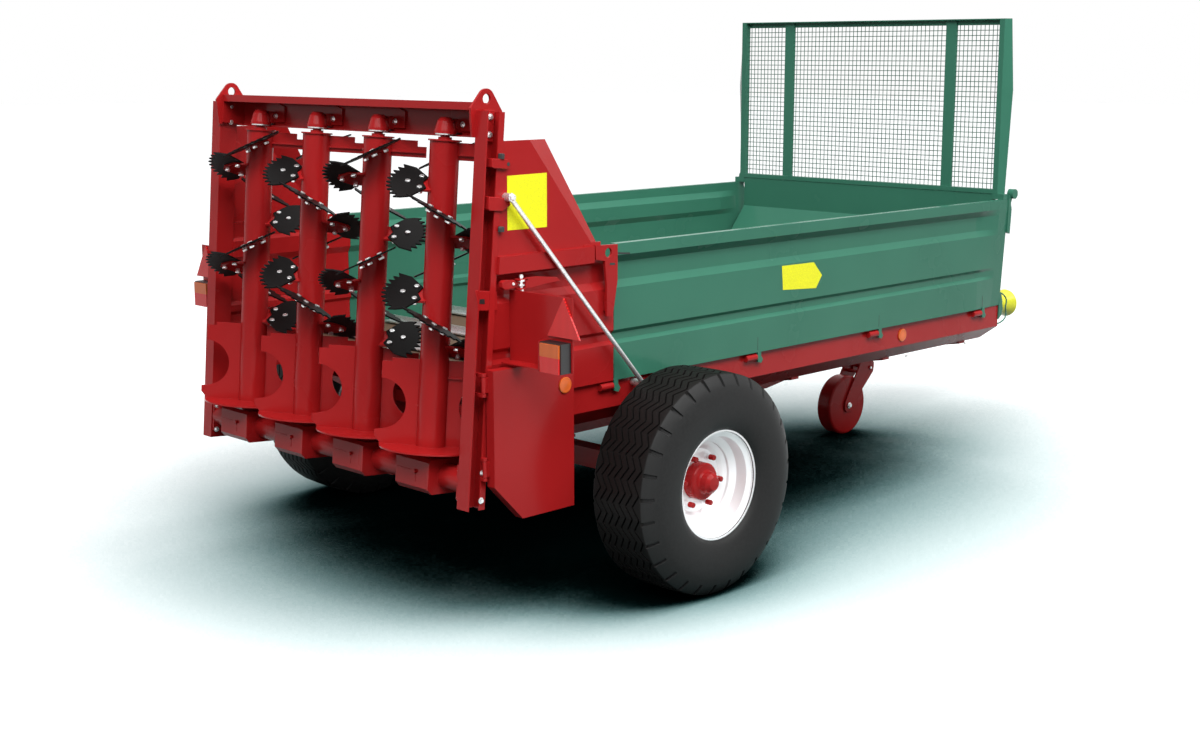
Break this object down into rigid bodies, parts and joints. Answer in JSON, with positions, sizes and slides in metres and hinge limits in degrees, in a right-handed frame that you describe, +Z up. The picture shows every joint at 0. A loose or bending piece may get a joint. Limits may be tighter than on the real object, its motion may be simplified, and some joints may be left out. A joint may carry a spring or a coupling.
{
  "type": "manure spreader",
  "caption": "Two-wheeled farm manure spreader with a ribbed steel load bed, a mesh headboard and upright beaters with serrated knives at the rear.",
  "frame": {"origin": "on the ground at the middle of the machine's length and width", "axes": "+X forward to the hitch, +Y left, +Z up"},
  "size_m": [5.0956, 2.478, 2.222],
  "materials": {
    "red_paint": "gloss",
    "green_paint": "gloss",
    "zinc_steel": "satin",
    "hardened_steel": "satin",
    "floor_boards": "matte",
    "rim_paint": "gloss",
    "tyre_rubber": "matte",
    "black_plastic": "matte",
    "yellow_plastic": "gloss",
    "amber_lens": "gloss",
    "red_lens": "gloss"
  },
  "bodies": {
    "chassis": {"rail_right": "red_paint", "rail_left": "red_paint", "main_beams": "red_paint", "outriggers": "red_paint", "cross_members": "red_paint", "axle_beam": "red_paint", "drawbar": "red_paint", "rear_post_right": "red_paint", "rear_post_left": "red_paint", "top_beam": "red_paint", "drive_beam": "red_paint", "wing_panel_right": "red_paint", "wing_panel_left": "red_paint", "lower_panel_right": "red_paint", "lower_panel_left": "red_paint", "corner_brackets": "red_paint", "light_boards": "red_paint", "guard_hinges": "red_paint", "bearing_housings": "red_paint", "gearbox": "red_paint", "hitch_eye": "red_paint", "side_board_right": "green_paint", "side_board_left": "green_paint", "front_board": "green_paint", "board_latches": "green_paint", "mesh_frame": "green_paint", "mesh_grid": "green_paint", "scraper_shafts": "zinc_steel", "scraper_chains": "zinc_steel", "scraper_slats": "zinc_steel", "stay_rods": "zinc_steel", "floor_panel": "floor_boards", "lamp_housings": "black_plastic", "shaft_guard": "yellow_plastic", "lamps_amber": "amber_lens", "lamps_red": "red_lens", "triangle_reflectors": "red_lens"},
    "wheel_left": {"tyre_left": "tyre_rubber", "rim_left": "rim_paint", "hub_left": "red_paint"},
    "wheel_right": {"tyre_right": "tyre_rubber", "rim_right": "rim_paint", "hub_right": "red_paint"},
    "guard_door": {"guard_box": "red_paint"},
    "input_shaft": {"drive_shaft": "zinc_steel"},
    "support_leg": {"jack_leg": "red_paint"},
    "support_wheel": {"jack_wheel": "red_paint"},
    "rotor_1": {"beater_1": "red_paint", "knives_1": "hardened_steel"},
    "rotor_2": {"beater_2": "red_paint", "knives_2": "hardened_steel"},
    "rotor_3": {"beater_3": "red_paint", "knives_3": "hardened_steel"},
    "rotor_4": {"beater_4": "red_paint", "knives_4": "hardened_steel"}
  },
  "joints": [
    {"name": "wheel_left_turn", "type": "hinge", "parent": "chassis", "child": "wheel_left", "pos_m": [-1.45215, 1.1, 0.435], "axis": [0, 1, 0], "continuous": true},
    {"name": "wheel_right_turn", "type": "hinge", "parent": "chassis", "child": "wheel_right", "pos_m": [-1.45215, -1.1, 0.435], "axis": [0, 1, 0], "continuous": true},
    {"name": "beater_1_turn", "type": "hinge", "parent": "chassis", "child": "rotor_1", "pos_m": [-2.31129, 0.585, 1.19153], "axis": [0.0842, 0, 0.9964], "continuous": true},
    {"name": "beater_2_turn", "type": "hinge", "parent": "chassis", "child": "rotor_2", "pos_m": [-2.31129, 0.195, 1.19153], "axis": [0.0842, 0, 0.9964], "continuous": true},
    {"name": "beater_3_turn", "type": "hinge", "parent": "chassis", "child": "rotor_3", "pos_m": [-2.31129, -0.195, 1.19153], "axis": [0.0842, 0, 0.9964], "continuous": true},
    {"name": "beater_4_turn", "type": "hinge", "parent": "chassis", "child": "rotor_4", "pos_m": [-2.31129, -0.585, 1.19153], "axis": [0.0842, 0, 0.9964], "continuous": true},
    {"name": "input_turn", "type": "hinge", "parent": "chassis", "child": "input_shaft", "pos_m": [1.24785, 0, 0.597], "axis": [1, 0, 0], "continuous": true},
    {"name": "guard_swing", "type": "hinge", "parent": "chassis", "child": "guard_door", "pos_m": [-2.35215, -0.88, 0.7], "axis": [0, 0, -1], "range_deg": [0, 100]},
    {"name": "leg_fold", "type": "hinge", "parent": "chassis", "child": "support_leg", "pos_m": [1.33485, 0.1635, 0.348], "axis": [0, 1, 0], "range_deg": [0, 60]},
    {"name": "support_wheel_turn", "type": "hinge", "parent": "support_leg", "child": "support_wheel", "pos_m": [1.15185, 0.1635, 0.161], "axis": [0, 1, 0], "continuous": true}
  ],
  "couplings": [
    {"joint": "beater_2_turn", "follows": "beater_1_turn", "ratio": -1},
    {"joint": "beater_3_turn", "follows": "beater_1_turn", "ratio": 1},
    {"joint": "beater_4_turn", "follows": "beater_1_turn", "ratio": -1},
    {"joint": "input_turn", "follows": "beater_1_turn", "ratio": 1.4}
  ]
}
